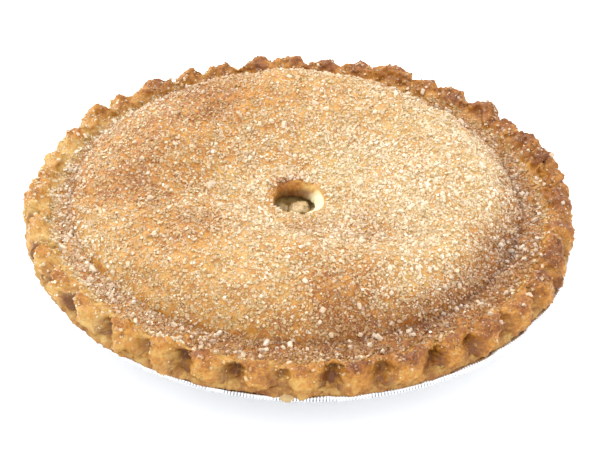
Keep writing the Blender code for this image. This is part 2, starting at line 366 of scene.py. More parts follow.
# ---------- material helpers
class Finish:
    """A material and short ways to add its nodes."""

    def __init__(self, name):
        self.material = bpy.data.materials.new(name)
        self.material.use_nodes = True
        self.tree = self.material.node_tree
        self.shader = self.tree.nodes["Principled BSDF"]
        self.where = self.tree.nodes.new("ShaderNodeTexCoord").outputs["Object"]

    def link(self, source, target):
        if hasattr(source, "node"):
            self.tree.links.new(source, target)
        else:
            target.default_value = source

    def set(self, **values):
        for key, value in values.items():
            self.link(value, self.shader.inputs[key.replace("_", " ")])

    def noise(self, size, detail=3.0, roughness=0.55, distortion=0.0):
        node = self.tree.nodes.new("ShaderNodeTexNoise")
        self.link(self.where, node.inputs["Vector"])
        node.inputs["Scale"].default_value = 1.0 / (size * MM)
        node.inputs["Detail"].default_value = detail
        node.inputs["Roughness"].default_value = roughness
        node.inputs["Distortion"].default_value = distortion
        return node.outputs["Fac"]

    def cells(self, size):
        node = self.tree.nodes.new("ShaderNodeTexVoronoi")
        self.link(self.where, node.inputs["Vector"])
        node.inputs["Scale"].default_value = 1.0 / (size * MM)
        return node.outputs["Distance"]

    def math(self, operation, first, second=0.0, clamp=False):
        node = self.tree.nodes.new("ShaderNodeMath")
        node.operation = operation
        node.use_clamp = clamp
        self.link(first, node.inputs[0])
        self.link(second, node.inputs[1])
        return node.outputs[0]

    def spread(self, value, low, high, to_low=0.0, to_high=1.0):
        node = self.tree.nodes.new("ShaderNodeMapRange")
        node.interpolation_type = "SMOOTHSTEP"
        self.link(value, node.inputs["Value"])
        for key, number in (("From Min", low), ("From Max", high),
                            ("To Min", to_low), ("To Max", to_high)):
            node.inputs[key].default_value = number
        return node.outputs["Result"]

    def total(self, *values):
        """The sum of the values, kept between 0 and 1."""
        result = values[0]
        for number, value in enumerate(values[1:], 2):
            result = self.math("ADD", result, value, clamp=number == len(values))
        return result

    def blend(self, share, first, second):
        """Mixes two colours; a plain one is given as red, green and blue."""
        node = self.tree.nodes.new("ShaderNodeMix")
        node.data_type = "RGBA"
        self.link(share, node.inputs[0])
        for colour, socket in ((first, node.inputs[6]), (second, node.inputs[7])):
            self.link((*colour, 1.0) if isinstance(colour, tuple) else colour, socket)
        return node.outputs[2]

    def ramp(self, value, stops):
        node = self.tree.nodes.new("ShaderNodeValToRGB")
        bar = node.color_ramp.elements
        while len(bar) < len(stops):
            bar.new(0.5)
        for element, (position, colour) in zip(bar, stops):
            element.position = position
            element.color = (*colour, 1.0)
        self.link(value, node.inputs["Fac"])
        return node.outputs["Color"]

    def measures(self, name):
        """The three painted measures of the surface."""
        node = self.tree.nodes.new("ShaderNodeAttribute")
        node.attribute_name = name
        split = self.tree.nodes.new("ShaderNodeSeparateColor")
        self.link(node.outputs["Color"], split.inputs["Color"])
        return split.outputs[0], split.outputs[1], split.outputs[2]

    def bump(self, height, distance, strength):
        node = self.tree.nodes.new("ShaderNodeBump")
        node.inputs["Strength"].default_value = strength
        node.inputs["Distance"].default_value = distance * MM
        self.link(height, node.inputs["Height"])
        return node.outputs["Normal"]


def put_on(piece, finish):
    piece.data.materials.clear()
    piece.data.materials.append(finish.material)


# ---------- finishes
UNBAKED = (0.74, 0.68, 0.42)
PALE_DOUGH = (0.51, 0.32, 0.090)
GOLDEN = (0.42, 0.180, 0.024)
TOASTED = (0.25, 0.083, 0.012)
BROWNED = (0.13, 0.034, 0.007)
# painted shade: the dark red-brown laid into the notches, the lid's foot, the vent wall and the
# seams
HOLLOW_SHADE = (0.095, 0.022, 0.005)
MELTED_SUGAR = (0.43, 0.32, 0.17)
SUGAR_CREAM = (0.58, 0.43, 0.24)
SUGAR_WHITE = (0.80, 0.72, 0.60)
DOUGH_TONES = ((0.0, PALE_DOUGH), (0.36, GOLDEN), (0.68, TOASTED), (1.0, BROWNED))
LEDGE_TONES = ((0.0, (0.45, 0.31, 0.10)), (0.45, (0.33, 0.17, 0.036)),
               (0.75, (0.22, 0.085, 0.014)), (1.0, BROWNED))
HONEY_TONES = ((0.0, (0.55, 0.43, 0.21)), (0.38, (0.46, 0.295, 0.112)),
               (0.68, (0.335, 0.155, 0.032)), (1.0, (0.185, 0.065, 0.012)))
SYRUP_TONES = ((0.25, (0.10, 0.055, 0.016)), (0.5, (0.26, 0.15, 0.045)),
               (0.75, (0.46, 0.30, 0.11)))
FLESH_TONES = ((0.30, (0.15, 0.085, 0.02)), (0.47, (0.40, 0.26, 0.10)),
               (0.66, (0.62, 0.46, 0.24)))
FLESH_SCATTER = (0.003, 0.0018, 0.0008)
SUGAR_SCATTER = (0.0018, 0.0013, 0.0008)
FOIL_DULL = (0.66, 0.68, 0.71)
FOIL_BRIGHT = (0.84, 0.85, 0.87)
# painted shade in the grooves of the hem
FOIL_GROOVE_SHADE = (0.12, 0.12, 0.13)
JUICE_AMBER = (0.70, 0.42, 0.13)
JUICE_CLEAR = (0.88, 0.68, 0.36)
FLOOR_COOL = (0.95, 0.95, 0.955)
FLOOR_WARM = (0.97, 0.97, 0.97)


def baked_dough():
    """Baked top: pale to golden to browned dough under a skin of melted sugar."""
    made = Finish("baked_top")
    # the second measure is painted shade for the hollows of the crust
    browning, hollow_shade, sugar = made.measures("bake_and_shade")
    patches = made.noise(14.0)
    mottle = made.noise(3.2, 4.0, 0.6)
    fleck = made.noise(1.1, 2.0, 0.6)
    tone = made.total(browning, made.spread(patches, 0.3, 0.7, -0.13, 0.13),
                      made.spread(mottle, 0.32, 0.68, -0.16, 0.16),
                      made.spread(fleck, 0.35, 0.65, -0.10, 0.10))
    colour = made.ramp(tone, DOUGH_TONES)
    # melted sugar dulls the gold of the paler dough
    skin = made.math("MULTIPLY", sugar, made.spread(browning, 0.50, 0.20, 0.0, 0.30))
    colour = made.blend(skin, colour, MELTED_SUGAR)
    colour = made.blend(made.spread(browning, 0.12, 0.02), colour, UNBAKED)
    # painted shade darkens the notches, the lid's foot, the back of the vent wall and the seam
    colour = made.blend(made.math("MULTIPLY", hollow_shade, 0.85), colour, HOLLOW_SHADE)
    # fine grains that have half melted into the dough
    grains = made.spread(made.cells(1.0), 0.42, 0.22)
    cover = made.spread(made.noise(5.0, 3.0, 0.65), 0.38, 0.66)
    share = made.math("MULTIPLY", grains, made.math("MULTIPLY", cover, sugar))
    colour = made.blend(made.math("MULTIPLY", share, 0.85), colour, SUGAR_CREAM)
    rough = made.spread(share, 0.0, 1.0, 0.50, 0.26)
    height = made.math("ADD", made.math("MULTIPLY", fleck, 0.35),
                       made.math("MULTIPLY", share, 0.5))
    height = made.math("ADD", height, made.math("MULTIPLY", mottle, 0.5))
    made.set(Base_Color=colour, Roughness=rough, Normal=made.bump(height, 0.5, 0.75))
    made.set(Specular_IOR_Level=0.3, Coat_Weight=0.06, Coat_Roughness=0.35)
    return made


def ledge_dough():
    """Bottom pastry: even golden, with painted shade in the seam and browned along its edge."""
    made = Finish("pale_pastry")
    browning, hollow_shade, _ = made.measures("bake_and_shade")
    patches = made.noise(11.0)
    mottle = made.noise(3.4, 4.0, 0.6)
    fleck = made.noise(0.9, 2.0, 0.6)
    tone = made.total(browning, made.spread(patches, 0.3, 0.7, -0.12, 0.16),
                      made.spread(mottle, 0.34, 0.66, -0.18, 0.18),
                      made.spread(fleck, 0.35, 0.65, -0.08, 0.08))
    colour = made.ramp(tone, LEDGE_TONES)
    # painted shade where the ledge lies inside the notches of the edge
    colour = made.blend(made.math("MULTIPLY", hollow_shade, 0.85), colour, HOLLOW_SHADE)
    height = made.math("ADD", made.math("MULTIPLY", fleck, 0.4), mottle)
    made.set(Base_Color=colour, Roughness=0.62, Normal=made.bump(height, 0.4, 0.8))
    made.set(Specular_IOR_Level=0.4)
    return made


def bright_foil():
    """Thin aluminium foil with fine creases and painted shade in the grooves between the ribs
    of its hem.
    """
    made = Finish("foil")
    crease = made.noise(5.0, 3.0, 0.6, 0.8)
    scuff = made.noise(0.7, 2.0, 0.5)
    tone = made.blend(made.spread(crease, 0.3, 0.7), FOIL_DULL, FOIL_BRIGHT)
    groove, _, _ = made.measures("hem")
    # painted shade in the hem's grooves, patchy along the hem
    groove_shade = made.spread(made.noise(9.0, 2.0), 0.36, 0.60, 0.15, 0.85)
    groove_shade = made.math("MULTIPLY", groove_shade, made.spread(groove, 0.35, 0.9))
    tone = made.blend(groove_shade, tone, FOIL_GROOVE_SHADE)
    made.set(Base_Color=tone, Metallic=1.0, Roughness=made.spread(crease, 0.3, 0.7, 0.36, 0.22))
    height = made.math("ADD", crease, made.math("MULTIPLY", scuff, 0.15))
    made.set(Normal=made.bump(height, 0.25, 0.7))
    return made


def cooked_syrup():
    """Dark amber juice and soft fruit under the lid."""
    made = Finish("cooked_fruit")
    cloud = made.noise(6.0, 4.0, 0.6)
    made.set(Base_Color=made.ramp(cloud, SYRUP_TONES), Roughness=0.22)
    made.set(Normal=made.bump(cloud, 1.0, 0.6))
    made.set(Specular_IOR_Level=0.5, Coat_Weight=0.5, Coat_Roughness=0.12)
    return made


def soft_apple():
    """Cooked apple: tan flesh, olive and amber where the juice has soaked in."""
    made = Finish("apple_flesh")
    cloud = made.noise(4.0, 4.0, 0.6)
    fibre = made.noise(0.9, 3.0, 0.6)
    tone = made.math("ADD", made.math("MULTIPLY", cloud, 0.75),
                     made.math("MULTIPLY", fibre, 0.25))
    made.set(Base_Color=made.ramp(tone, FLESH_TONES), Roughness=0.30)
    made.set(Normal=made.bump(fibre, 0.3, 0.6), Subsurface_Radius=FLESH_SCATTER)
    made.set(Coat_Weight=0.35, Coat_Roughness=0.15, Subsurface_Weight=0.15)
    return made


def sugar_finish(name, whiteness, roughness):
    """Sugar crystals: white, or clear enough to take the tone of the dough under them."""
    made = Finish(name)
    tone, white, frost = made.measures("tint")
    cloud = made.noise(0.9, 2.0, 0.5)
    share = made.total(white, made.spread(cloud, 0.3, 0.7, -0.15, 0.15))
    share = made.math("MULTIPLY", share, whiteness)
    made.set(Base_Color=made.blend(share, made.ramp(tone, HONEY_TONES), SUGAR_WHITE))
    made.set(Roughness=made.spread(frost, 0.0, 1.0, roughness, roughness + 0.25))
    made.set(Normal=made.bump(cloud, 0.08, 0.5), Subsurface_Radius=SUGAR_SCATTER)
    made.set(IOR=1.5, Specular_IOR_Level=0.6, Subsurface_Weight=0.55)
    return made


def honey_drip():
    """Thin boiled-over juice, set to a clear amber bead."""
    made = Finish("set_juice")
    cloud = made.noise(2.5, 2.0)
    made.set(Base_Color=made.blend(cloud, JUICE_AMBER, JUICE_CLEAR))
    made.set(Roughness=0.10, IOR=1.45, Transmission_Weight=0.6)
    made.set(Normal=made.bump(cloud, 0.2, 0.5))
    return made


# ---------- top crust
rng = np.random.default_rng(RNG_SEED)
turns = np.arange(CRUST_SAMPLES) * FLUTES / CRUST_SAMPLES
angles = flute_angle(turns)

turn_table = np.linspace(-FLUTES, 2 * FLUTES, 6000)
angle_table = flute_angle(turn_table)


def where_on_pie(points):
    """Radius from the dough's middle, angle, and the place counted in flutes."""
    angle = np.arctan2(points[:, 1], points[:, 0])
    radius = np.hypot(points[:, 0], points[:, 1])
    radius = radius - dough_drift(radius, angle)
    return radius, angle, np.interp(angle, angle_table, turn_table)


def where_in_vent(points):
    """Radius and angle from the middle of the vent."""
    x, y = points[:, 0] - VENT_CENTRE[0], points[:, 1] - VENT_CENTRE[1]
    return np.hypot(x, y), np.arctan2(y, x)


def uneven(swing):
    """A value for every tip or every notch."""
    spread, lowest, highest = swing
    return rng.normal(0.0, spread, FLUTES).clip(lowest, highest)


def along_flutes(values, start=0.0):
    """Smoothly runs a value of each flute round the edge."""
    spot = turns - start
    index = np.floor(spot).astype(int)
    share = smoothstep(0.0, 1.0, spot - index)
    return mix(values[index % FLUTES], values[(index + 1) % FLUTES], share)


tip_reach = along_flutes(uneven(TIP_SWING))
tip_rise = along_flutes(uneven(HEIGHT_SWING))
pinch_depth = 1.0 + along_flutes(uneven(DEPTH_SWING), 0.5)
pinch_lean = along_flutes(uneven(LEAN_SWING), 0.5)


def crimp_share(phase):
    """0 at the tip of a lobe, 1 in the middle of a notch."""
    return 0.5 - 0.5 * np.cos(phase + CRIMP_SLOPE * np.cos(phase))


def crimp_ring(inset, reach, height, droop=0.0):
    """One ring of the edge: inset from the tips, reach of the notches, height and droop."""
    skew = CRIMP_SKEW * (inset - 3.0) / 10.0 - CRIMP_TWIST * (CRIMP_HEIGHT - height) / 10.0
    skew = skew * np.cos(angles)
    phase = TAU * (turns - skew - pinch_lean)
    share = crimp_share(phase) ** TIP_BREADTH
    deep = FLUTE_DEPTH + FLUTE_DEPTH_SWING * np.cos(angles - math.radians(FLUTE_DEEP_ANGLE))
    # the notches cut less into the top of the edge at the front left
    cut = mix(1.7, 1.0, facing(angles, -115.0, 3.0))
    reach = mix(reach, np.minimum(reach * cut, 1.25), smoothstep(0.5, 2.0, inset))
    tuck = 0.7 * facing(angles, 125.0, 4.0)
    radius = TIP_RADIUS - tuck - inset - deep * pinch_depth * reach * share
    lifted = smoothstep(LEDGE_TOP, CRIMP_HEIGHT, height)
    radius = radius + tip_reach * (0.4 + 0.6 * lifted) * np.clip(1.0 - inset / 12.0, 0.0, 1.0)
    behind = facing(angles, 80.0, 1.5)
    drop = mix(NOTCH_DROP, NOTCH_DROP_BACK, behind) + 0.8 * facing(angles, 0.0, 4.0)
    rise = tip_rise + BACK_RISE * facing(angles, 38.0, 3.0) - drop * share
    rise = rise * lifted * np.clip(1.3 - inset / 13.0, 0.0, 1.0)
    rise = rise - droop * (1.0 - 0.45 * share) * mix(0.45, 1.0, facing(angles, -125.0))
    return np.stack([radius, height + rise], axis=-1)


def lump_height(radius, angle, lumps):
    """Height of all the soft lumps together."""
    total = 0.0
    for lump_angle, lump_radius, height, width in lumps:
        turn = angle - math.radians(lump_angle)
        away = radius ** 2 + lump_radius ** 2 - 2.0 * radius * lump_radius * np.cos(turn)
        total = total + height * np.exp(-away / (2.0 * width ** 2))
    return total


def lid_foot(angle):
    return LID_FOOT_RADIUS + LID_LEAN * np.cos(angle - math.radians(LID_LEAN_ANGLE))


def lid_height(radius, angle, rises=FRUIT_RISES):
    crown = mix(VENT_HEIGHT, CROWN_HEIGHT,
                smoothstep(VENT_LIP_RADIUS - 4.0, CROWN_RADIUS, radius))
    calm = smoothstep(VENT_LIP_RADIUS, 2.5 * VENT_LIP_RADIUS, radius)
    crown = crown + calm * lump_height(radius, angle, LUMPS + tuple(rises))
    inside = lid_foot(angle) - radius
    share = np.clip(1.0 - inside / SHOULDER_WIDTH, 0.0, 1.0)
    softness = mix(SHOULDER_SOFT, SHOULDER_STEEP, facing(angle, LID_LEAN_ANGLE))
    return mix(CHANNEL_HEIGHT, crown, (1.0 - share ** SHOULDER_SQUARENESS) ** softness)


def lid_ring(share):
    radius = share * lid_foot(angles)
    return np.stack([radius, lid_height(radius, angles)], axis=-1)


def under_ring(share):
    radius = share * lid_foot(angles)
    height = lid_height(radius + UNDERSIDE_INSET, angles, ()) - LID_THICKNESS
    height = np.minimum(height, lid_height(radius, angles) - THINNEST_LID)
    return np.stack([radius, np.maximum(height, LEDGE_TOP + GAP)], axis=-1)


def vent_ring(radius, height, ragged=1.0, leftward=0.0):
    """One ring of the vent, a little ragged and higher at the back."""
    edge = 0.45 * np.sin(3.0 * angles + 0.6) + 0.3 * np.sin(5.0 * angles + 2.1)
    high = 0.5 * np.sin(angles - 0.4) + 0.25 * np.sin(4.0 * angles)
    return np.stack([radius + ragged * edge - leftward * np.cos(angles),
                     height + ragged * high], axis=-1)


def top_crust():
    """The crimped edge from its foot inwards, the lid, the vent and the lid's underside."""
    seat = LEDGE_TOP + GAP
    crest = CRIMP_HEIGHT
    edge = through_rings([
        crimp_ring(2.0, 0.25, seat - 0.3, 1.0),
        crimp_ring(0.0, 0.28, seat + 0.4, 3.6),
        crimp_ring(-0.5, 0.42, seat + 2.0, 2.9),
        crimp_ring(-0.4, 0.85, seat + 4.2, 1.4),
        crimp_ring(0.2, 1.15, crest - 2.0, 0.3),
        crimp_ring(1.5, 0.82, crest - 0.3),
        crimp_ring(3.5, 0.52, crest + 0.5),
        crimp_ring(6.0, 0.36, crest - 0.1),
        crimp_ring(8.8, 0.24, crest - 2.3),
        crimp_ring(11.2, 0.14, CHANNEL_HEIGHT + 0.9),
        crimp_ring(13.6, 0.06, CHANNEL_HEIGHT + 0.1),
        lid_ring(1.0),
    ], 4)
    foot_to_lip = np.linspace(0.0, 1.0, LID_RINGS + 1)[1:]
    inner = (VENT_LIP_RADIUS + 4.6) / LID_FOOT_RADIUS
    lid = [lid_ring(1.0 - (1.0 - inner) * step ** 1.3) for step in foot_to_lip]
    lip, throat = VENT_LIP_RADIUS, VENT_THROAT_RADIUS
    vent = through_rings([
        lid[-1],
        vent_ring(lip + 2.4, VENT_HEIGHT + 0.75),
        vent_ring(lip + 0.6, VENT_HEIGHT + 0.5),
        vent_ring(lip - 0.9, VENT_HEIGHT - 0.6, 1.0, 0.5),
        vent_ring(throat - 0.2, VENT_HEIGHT - 2.4, 1.0, 1.5),
        vent_ring(throat - 1.1, VENT_HEIGHT - 4.6, 0.7, 2.2),
        vent_ring(throat - 0.6, VENT_HEIGHT - 5.6, 0.5, 2.0),
    ], 3)[1:]
    under = [under_ring(share) for share in UNDERSIDE_SHARES]
    rings = np.array(edge + lid + vent + under + edge[:1])
    points = place(rings[..., 0], angles[None, :], rings[..., 1])
    piece = rolled_sheet("baked_lid", points)
    relief(piece, DOUGH_RELIEF)
    even = coordinates(piece)
    relief(piece, CRIMP_RELIEF)
    radius = where_on_pie(even)[0]
    rough = smoothstep(EDGE_FOOT_RADIUS + 1.0, EDGE_FOOT_RADIUS + 6.0, radius)
    set_coordinates(piece, mix(even, coordinates(piece), rough[:, None]))
    relief(piece, GRAIN_RELIEF)
    settled = coordinates(piece)
    settled[:, 2] -= SINK_SHARE * np.maximum(settled[:, 2] - HIGHEST_DOUGH, 0.0)
    set_coordinates(piece, settled)
    return piece


class CrustPlace:
    """Where points of the baked top lie: how far each is on the lid, the edge and so on."""

    def __init__(self, points, normals):
        self.radius, self.angle, self.turn = where_on_pie(points)
        self.vent_radius, self.vent_angle = where_in_vent(points)
        self.height, self.up = points[:, 2], normals[:, 2]
        self.foot = lid_foot(self.angle)
        off_lid = smoothstep(self.foot - 2.0, self.foot + 2.0, self.radius)
        self.on_lid = 1.0 - off_lid
        edge_foot = EDGE_FOOT_RADIUS
        self.in_channel = off_lid * (1.0 - smoothstep(edge_foot, edge_foot + 5.0, self.radius))
        self.on_edge = smoothstep(edge_foot, edge_foot + 6.0, self.radius)
        lip = VENT_LIP_RADIUS
        self.in_vent = smoothstep(lip + 0.3, lip - 1.2, self.vent_radius)
        self.outward = normals[:, 0] * np.cos(self.angle) + normals[:, 1] * np.sin(self.angle)
        lean = CRIMP_TWIST * (CRIMP_HEIGHT - self.height) / 10.0 * np.cos(self.angle)
        lean = lean - np.interp(self.turn, turns, pinch_lean, period=FLUTES)
        self.notch = crimp_share(TAU * (self.turn + lean))


def browning_of_lid(at):
    crown = smoothstep(CROWN_HEIGHT - 5.0, CROWN_HEIGHT + 4.0, at.height)
    near_foot = smoothstep(at.foot - 16.0, at.foot - 1.0, at.radius) * at.on_lid
    browning = 0.24 + 0.05 * crown + 0.29 * near_foot
    browning = browning - 0.36 * near_foot * facing(at.angle, 228.0, 2.0)
    browning = browning + 0.26 * near_foot * facing(at.angle, -45.0, 3.0)
    browning = browning + lump_height(at.radius, at.angle, TONE_PATCHES)
    front = facing(at.angle, -100.0, 2.0)
    browning = browning + 0.10 * front * smoothstep(30.0, 80.0, at.radius)
    return browning - 0.07 * facing(at.angle, -5.0, 2.0) * at.on_lid


def browning_with_vent(at, browning):
    """The lip is browned at the back, and the wall is unbaked but for its crisp top."""
    lip = np.exp(-((at.vent_radius - VENT_LIP_RADIUS - 0.6) / 2.6) ** 2)
    browning = browning + 0.36 * lip * facing(at.vent_angle, 115.0, 2.5)
    crisp = smoothstep(VENT_HEIGHT - 3.2, VENT_HEIGHT - 0.6, at.height)
    wall = 0.02 + 0.40 * crisp * facing(at.vent_angle, 135.0, 3.0)
    return mix(browning, wall, at.in_vent)


def browning_with_edge(at, browning):
    """The crest of each lobe is browned most, the left side and the undersides least."""
    crest = smoothstep(CRIMP_HEIGHT - 4.0, CRIMP_HEIGHT + 0.5, at.height)
    ridge = crest * (1.0 - smoothstep(0.1, 0.7, at.notch))
    front_right = facing(at.angle, -50.0, 1.5)
    lobes = 0.41 + 0.17 * crest + 0.20 * ridge + 0.08 * front_right
    browning = mix(browning, lobes, at.on_edge)
    outer_face = at.on_edge * smoothstep(0.35, 0.8, at.outward)
    browning = browning - 0.06 * outer_face * (1.0 - 0.8 * at.notch)
    browning = browning - 0.36 * at.on_edge * facing(at.angle, 192.0, 3.0)
    least = 0.38 - 0.22 * facing(at.angle, 190.0, 3.0)
    browning = np.maximum(browning, least * at.on_edge)
    return browning - 0.10 * smoothstep(0.2, -0.4, at.up) * at.on_edge


def painted_shade_of_crust(at):
    """Painted shade: the lid's foot, the notches, the shaded vent wall and the lowest seam."""
    # painted shade in the groove at the lid's foot, weakest at the front left
    foot = 0.75 * np.exp(-((at.radius - at.foot - 0.5) / 2.2) ** 2)
    foot = foot * smoothstep(2.5, -1.5, at.height - CHANNEL_HEIGHT)
    foot = foot * (1.0 - 0.75 * facing(at.angle, 228.0, 2.0))
    # painted shade in the notches, strongest at the front left and in the deepest notches
    notch = smoothstep(0.30, 0.90, at.notch) * at.on_edge * smoothstep(0.0, 0.6, at.outward)
    notch = notch * (0.45 + 0.75 * facing(at.angle, -130.0))
    notch = notch * np.interp(at.turn, turns, pinch_depth, period=FLUTES) ** 1.5
    notch = notch * smoothstep(CRIMP_HEIGHT - 1.0, LEDGE_TOP + 4.5, at.height)
    # painted shade low on the vent's back-left wall
    wall = at.in_vent * smoothstep(VENT_HEIGHT - 0.2, VENT_HEIGHT - 2.4, at.height)
    wall = 0.92 * wall * smoothstep(0.25, 0.75, facing(at.vent_angle, 130.0))
    # painted shade along the bottom of the edge, where it meets the ledge
    seam_shade = 0.25 * smoothstep(LEDGE_TOP + 1.6, LEDGE_TOP + 0.4, at.height) * at.on_edge
    return np.maximum.reduce([foot, notch, wall, seam_shade])


def tone_of_crust(points, normals):
    """Browning, painted shade in the hollows and sugar skin of the baked top, from its form."""
    at = CrustPlace(points, normals)
    browning = browning_with_vent(at, browning_of_lid(at))
    browning = browning + at.in_channel * (0.26 + 0.16 * facing(at.angle, -20.0, 1.5))
    browning = browning + 0.15 * facing(at.angle, 150.0, 2.0) * at.on_lid
    browning = browning_with_edge(at, browning)
    sugar = 0.70 + 0.25 * facing(at.angle, 5.0) * smoothstep(20.0, 60.0, at.radius)
    sugar = smoothstep(0.0, 0.6, at.up) * sugar
    sugar = sugar * (1.0 - 0.55 * at.on_edge) * (1.0 - at.in_vent)
    return browning, painted_shade_of_crust(at), sugar


# ---------- bottom crust
def bottom_crust():
    """The lower pastry lines the tin and lies on its flange as a flat ledge."""
    clear = FOIL_THICKNESS + GAP
    side = clear + 0.3
    flange = TIN_HEIGHT + clear
    wall_top = TIN_WALL_TOP_RADIUS
    base = TIN_BASE_RADIUS - side
    angle = np.arange(LEDGE_SAMPLES) * TAU / LEDGE_SAMPLES
    wander = (0.55 * np.sin(5.0 * angle + 0.4) + 0.4 * np.sin(11.0 * angle + 2.0)
              + 0.3 * np.sin(23.0 * angle + 1.0))
    lift = 0.25 * np.sin(7.0 * angle + 1.3) + 0.15 * np.sin(17.0 * angle)

    def ring(radius, height, loose=0.0):
        return np.stack([radius + loose * wander * 0.7, height + loose * lift], axis=-1)

    lining = [
        ring(0.0, clear),
        ring(base - 1.6, clear),
        ring(base, clear + 0.7),
        ring(wall_top - side, TIN_HEIGHT - 1.6),
        ring(wall_top + 0.3, flange),
    ]
    rim = LEDGE_RADIUS
    droop = 0.7 * facing(angle, -84.0, 10.0) + 0.45 * facing(angle, -36.0, 4.0) - 0.3
    trim = 0.6 * facing(angle, 215.0, 8.0) + 1.1 * facing(angle, -36.0, 5.0)
    ledge = through_rings([
        ring(wall_top + 4.0, flange),
        ring(rim - 1.8, flange, 0.8),
        ring(rim - 0.3 - trim, flange - 0.1 - droop, 0.9),
        ring(rim + 0.4 - trim, flange + 0.3 - droop, 0.9),
        ring(rim + 0.3 - trim, flange + 1.2 - 0.5 * droop, 0.9),
        ring(rim - 0.5 - trim, LEDGE_TOP - 0.6, 0.9),
        ring(rim - 1.9, LEDGE_TOP, 0.9),
        ring(rim - 5.0, LEDGE_TOP + 0.1, 0.6),
        ring(rim - 8.0, LEDGE_TOP, 0.2),
    ], 4)
    inner = [
        ring(wall_top - CRUST_THICKNESS, LEDGE_TOP),
        ring(wall_top - CRUST_THICKNESS - 1.6, LEDGE_TOP - 2.4),
        ring(base - CRUST_THICKNESS + 1.2, clear + CRUST_THICKNESS),
        ring(0.0, clear + CRUST_THICKNESS),
    ]
    rings = np.array(lining + ledge + inner)
    outside = smoothstep(wall_top + 0.5, wall_top + 6.0, rings[..., 0])
    reach = rings[..., 0] + outside * DRIFT * np.cos(angle - math.radians(DRIFT_ANGLE))
    points = np.stack([reach * np.cos(angle), reach * np.sin(angle), rings[..., 1]], axis=-1)
    piece = rolled_sheet("lower_pastry", points)
    even = coordinates(piece)
    radius = np.hypot(even[:, 0], even[:, 1])
    relief(piece, LEDGE_RELIEF)
    loose = smoothstep(wall_top + 4.0, wall_top + 7.0, radius)
    points = mix(even, coordinates(piece), loose[:, None])
    set_coordinates(piece, points)
    height = points[:, 2]
    angle = np.arctan2(points[:, 1], points[:, 0])
    out = radius - DRIFT * np.cos(angle - math.radians(DRIFT_ANGLE))
    low = smoothstep(LEDGE_TOP - 0.6, flange, height)
    browning = 0.36 + 0.16 * low + 0.12 * facing(angle, -60.0)
    # painted shade on the ledge inside the notches of the edge
    hollow_shade = 0.95 * smoothstep(TIP_RADIUS - 3.0, TIP_RADIUS - 6.5, out)
    paint(piece, "bake_and_shade", browning, hollow_shade)
    return piece


# ---------- foil tin
def foil_tin():
    """Pressed foil pan with creased walls, a beaded flange and a knurled hem."""
    count = HEM_RIBS * POINTS_PER_RIB
    angle = np.arange(count) * TAU / count
    rim, wall, base = TIN_RIM_RADIUS, TIN_WALL_TOP_RADIUS, TIN_BASE_RADIUS
    top, thick = TIN_HEIGHT, FOIL_THICKNESS
    bulge = PAN_BULGE * np.cos(angle - math.radians(PAN_BULGE_ANGLE))
    rib = np.clip(np.cos(TAU * np.arange(count) / POINTS_PER_RIB + RIB_TURN), -0.7, 0.7)
    fold_rng = np.random.default_rng(RNG_SEED + 1)
    crease = np.zeros(count)
    for spot, width, depth in zip(fold_rng.uniform(0.0, TAU, WALL_CREASES),
                                  fold_rng.uniform(*CREASE_WIDTHS, WALL_CREASES),
                                  fold_rng.uniform(*CREASE_DEPTHS, WALL_CREASES)):
        away = (angle - spot + math.pi) % TAU - math.pi
        crease += depth * np.exp(-(away / width) ** 2)

    def ring(radius, height, creased=0.0, ribbed=0.0):
        reach = radius - creased * crease + ribbed * rib + (radius > wall) * bulge
        return np.stack([reach * np.cos(angle), reach * np.sin(angle),
                         height + np.zeros(count)], axis=-1)

    rings = [ring(0.0, 0.0)]
    for start in BASE_RINGS:
        rings += [ring(start, 0.0), ring(start + 1.0, 0.5),
                  ring(start + 3.0, 0.5), ring(start + 4.0, 0.0)]
    rings.append(ring(base - 2.0, 0.0))
    slope = (wall - base) / (top - 3.0)
    for height in (0.8, 4.0, 8.0, 12.0, 16.0, 20.0, 23.2):
        rings.append(ring(base + slope * (height - 0.8), height, 1.0 if height > 2.0 else 0.3))
    rings += [
        ring(wall + 1.4, top - 0.1, 0.5),
        ring(rim - 3.4, top, 0.2),
        ring(rim - 2.6, top - HEM_DROP + 0.3, 0.0, 0.15),
        ring(rim - 1.7, top - HEM_DROP, 0.0, 0.30),
        ring(rim - 0.6, top - HEM_DROP + 0.2, 0.0, 0.45),
        ring(rim - 0.2, top - 0.8, 0.0, 0.50),
        ring(rim - 0.4, top + 0.05, 0.0, 0.45),
        ring(rim - 1.1, top + 0.42, 0.0, 0.30),
        ring(rim - 2.4, top + thick, 0.0, 0.10),
        ring(wall + 1.6, top + thick, 0.3),
        ring(wall + 0.2, top - 1.6, 0.3),
        ring(base + thick, 0.8 + thick),
        ring(base - 2.2, thick),
        ring(0.0, thick),
    ]
    piece = rolled_sheet("foil_pan", np.array(rings))
    points = coordinates(piece)
    around = np.arctan2(points[:, 1], points[:, 0])
    groove = 0.5 - 0.5 * np.cos(around * HEM_RIBS + RIB_TURN)
    on_hem = smoothstep(rim - 4.2, rim - 2.6, np.hypot(points[:, 0], points[:, 1]))
    # painted shade for the hem's grooves, strongest at the front left
    groove_shade_strength = 0.55 + 0.45 * facing(around, 245.0, 3.0)
    paint(piece, "hem", groove * on_hem * groove_shade_strength)
    pick(piece)
    bpy.ops.object.shade_smooth_by_angle(angle=math.radians(50.0))
    return piece


